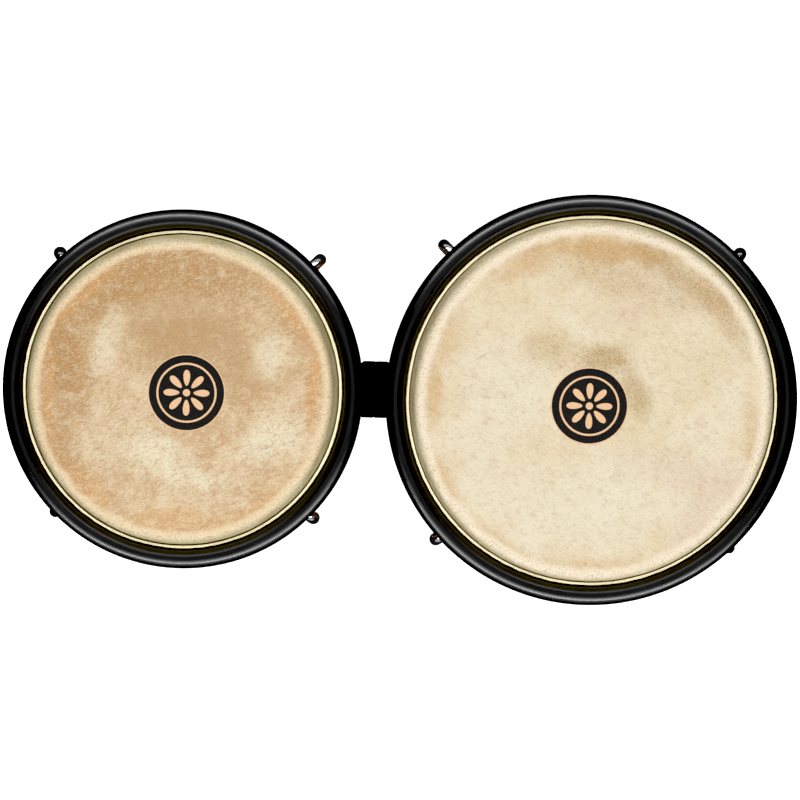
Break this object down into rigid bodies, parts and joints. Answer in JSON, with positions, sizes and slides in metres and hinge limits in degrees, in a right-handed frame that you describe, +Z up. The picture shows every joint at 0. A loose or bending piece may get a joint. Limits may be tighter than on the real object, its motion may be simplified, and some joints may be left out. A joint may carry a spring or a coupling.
{
  "type": "bongo drums",
  "caption": "Small and large open-bottomed hand drum side by side on a centre block: natural hide heads, rounded black rims, hooked tuning lugs and base rings.",
  "frame": {"origin": "centre of the footprint, on the surface that the base rings stand on", "axes": "+Z up along both drums' axes; +X from the small drum to the large one; the player sits at -Y"},
  "size_m": [0.461, 0.239, 0.1688],
  "materials": {
    "shell_wood": "amber stave wood under satin lacquer",
    "hide": "natural buffalo rawhide, mottled, lightly polished",
    "black_steel": "satin black powder coat",
    "hoop_steel": "plain drawn steel rod",
    "chrome": "polished chrome plate",
    "block_black": "moulded black, fine satin grain",
    "saddle_ply": "raw plywood",
    "zinc_steel": "zinc-plated"
  },
  "bodies": {
    "drums": {"macho_shell": "shell_wood", "macho_head": "hide", "macho_base_ring": "black_steel", "macho_base_ears": "black_steel", "macho_lug_washers": "zinc_steel", "macho_half_block": "block_black", "macho_saddle": "saddle_ply", "hembra_shell": "shell_wood", "hembra_head": "hide", "hembra_base_ring": "black_steel", "hembra_base_ears": "black_steel", "hembra_lug_washers": "zinc_steel", "hembra_half_block": "block_black", "hembra_saddle": "saddle_ply", "upper_coupling_bolt": "zinc_steel", "lower_coupling_bolt": "zinc_steel", "coupling_washers": "zinc_steel", "coupling_nuts": "zinc_steel"},
    "macho_tension_rim": {"macho_rim": "black_steel", "macho_flesh_hoop": "hoop_steel", "macho_lug_back_right": "chrome", "macho_lug_back_left": "chrome", "macho_lug_front_left": "chrome", "macho_lug_front_right": "chrome"},
    "macho_tuning_nut_back_right": {"macho_nut_back_right": "chrome"},
    "macho_tuning_nut_back_left": {"macho_nut_back_left": "chrome"},
    "macho_tuning_nut_front_left": {"macho_nut_front_left": "chrome"},
    "macho_tuning_nut_front_right": {"macho_nut_front_right": "chrome"},
    "hembra_tension_rim": {"hembra_rim": "black_steel", "hembra_flesh_hoop": "hoop_steel", "hembra_lug_back_right": "chrome", "hembra_lug_back_left": "chrome", "hembra_lug_front_left": "chrome", "hembra_lug_front_right": "chrome"},
    "hembra_tuning_nut_back_right": {"hembra_nut_back_right": "chrome"},
    "hembra_tuning_nut_back_left": {"hembra_nut_back_left": "chrome"},
    "hembra_tuning_nut_front_left": {"hembra_nut_front_left": "chrome"},
    "hembra_tuning_nut_front_right": {"hembra_nut_front_right": "chrome"}
  },
  "joints": [
    {"name": "macho_tuning", "type": "slide", "parent": "drums", "child": "macho_tension_rim", "axis": [0, 0, 1], "range_m": [-0.003, 0.004]},
    {"name": "macho_nut_back_right_turn", "type": "hinge", "parent": "drums", "child": "macho_tuning_nut_back_right", "pos_m": [-0.06043, 0.06562, 0.017], "axis": [0, 0, 1], "range_deg": [-1153, 866]},
    {"name": "macho_nut_back_left_turn", "type": "hinge", "parent": "drums", "child": "macho_tuning_nut_back_left", "pos_m": [-0.19167, 0.06562, 0.017], "axis": [0, 0, 1], "range_deg": [-1153, 866]},
    {"name": "macho_nut_front_left_turn", "type": "hinge", "parent": "drums", "child": "macho_tuning_nut_front_left", "pos_m": [-0.19167, -0.06562, 0.017], "axis": [0, 0, 1], "range_deg": [-1153, 866]},
    {"name": "macho_nut_front_right_turn", "type": "hinge", "parent": "drums", "child": "macho_tuning_nut_front_right", "pos_m": [-0.06043, -0.06562, 0.017], "axis": [0, 0, 1], "range_deg": [-1153, 866]},
    {"name": "hembra_tuning", "type": "slide", "parent": "drums", "child": "hembra_tension_rim", "axis": [0, 0, 1], "range_m": [-0.003, 0.004]},
    {"name": "hembra_nut_back_right_turn", "type": "hinge", "parent": "drums", "child": "hembra_tuning_nut_back_right", "pos_m": [0.18725, 0.0763, 0.017], "axis": [0, 0, 1], "range_deg": [-1153, 866]},
    {"name": "hembra_nut_back_left_turn", "type": "hinge", "parent": "drums", "child": "hembra_tuning_nut_back_left", "pos_m": [0.03465, 0.0763, 0.017], "axis": [0, 0, 1], "range_deg": [-1153, 866]},
    {"name": "hembra_nut_front_left_turn", "type": "hinge", "parent": "drums", "child": "hembra_tuning_nut_front_left", "pos_m": [0.03465, -0.0763, 0.017], "axis": [0, 0, 1], "range_deg": [-1153, 866]},
    {"name": "hembra_nut_front_right_turn", "type": "hinge", "parent": "drums", "child": "hembra_tuning_nut_front_right", "pos_m": [0.18725, -0.0763, 0.017], "axis": [0, 0, 1], "range_deg": [-1153, 866]}
  ],
  "couplings": [
    {"joint": "macho_nut_back_right_turn", "follows": "macho_tuning", "rad_per_m": -5026.5},
    {"joint": "macho_nut_back_left_turn", "follows": "macho_tuning", "rad_per_m": -5026.5},
    {"joint": "macho_nut_front_left_turn", "follows": "macho_tuning", "rad_per_m": -5026.5},
    {"joint": "macho_nut_front_right_turn", "follows": "macho_tuning", "rad_per_m": -5026.5},
    {"joint": "hembra_nut_back_right_turn", "follows": "hembra_tuning", "rad_per_m": -5026.5},
    {"joint": "hembra_nut_back_left_turn", "follows": "hembra_tuning", "rad_per_m": -5026.5},
    {"joint": "hembra_nut_front_left_turn", "follows": "hembra_tuning", "rad_per_m": -5026.5},
    {"joint": "hembra_nut_front_right_turn", "follows": "hembra_tuning", "rad_per_m": -5026.5}
  ]
}
